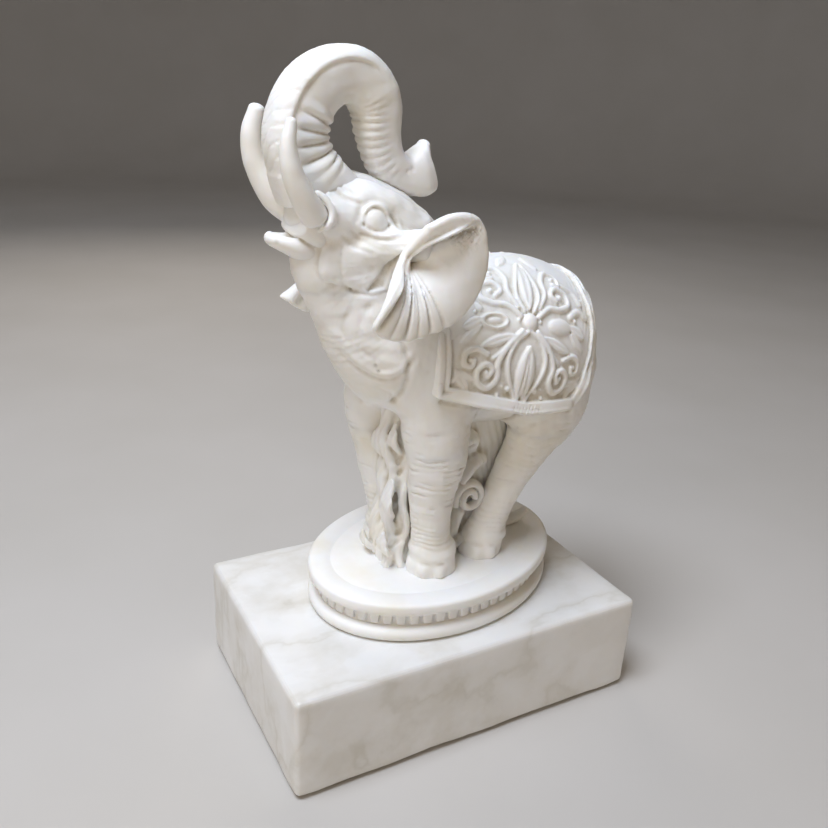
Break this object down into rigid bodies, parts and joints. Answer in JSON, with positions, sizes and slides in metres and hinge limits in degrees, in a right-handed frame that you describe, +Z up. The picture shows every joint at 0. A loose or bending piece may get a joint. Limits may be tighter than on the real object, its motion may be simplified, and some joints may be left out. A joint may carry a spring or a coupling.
{
  "type": "elephant figurine",
  "caption": "White cast elephant with raised trunk and carved saddle cloth, on an oval plinth bolted to a marble block.",
  "frame": {"origin": "centre of the underside, on the surface that the block stands on", "axes": "+Z up; +X along the block's long side, towards the rump, so the elephant faces -X; its left side is -Y"},
  "size_m": [0.12, 0.079, 0.1987],
  "materials": {
    "casting": "cast bonded alabaster, matt white with a warm tint in the hollows",
    "marble": "white marble with faint grey veins, satin polish",
    "felt": "thin self-adhesive felt",
    "zinc_plate": "zinc-plated steel"
  },
  "bodies": {
    "root": {"felt_pad": "felt", "marble_block": "marble", "threaded_stud": "zinc_plate", "washer": "zinc_plate", "hex_nut": "zinc_plate", "plinth": "casting", "torso": "casting", "head": "casting", "trunk": "casting", "lower_jaw": "casting", "tusk_left": "casting", "tusk_right": "casting", "ear_left": "casting", "ear_right": "casting", "foreleg_left": "casting", "foreleg_right": "casting", "hindleg_left": "casting", "hindleg_right": "casting", "tail": "casting", "saddle_cloth": "casting", "foliage_front": "casting", "foliage_rear": "casting"}
  },
  "joints": []
}
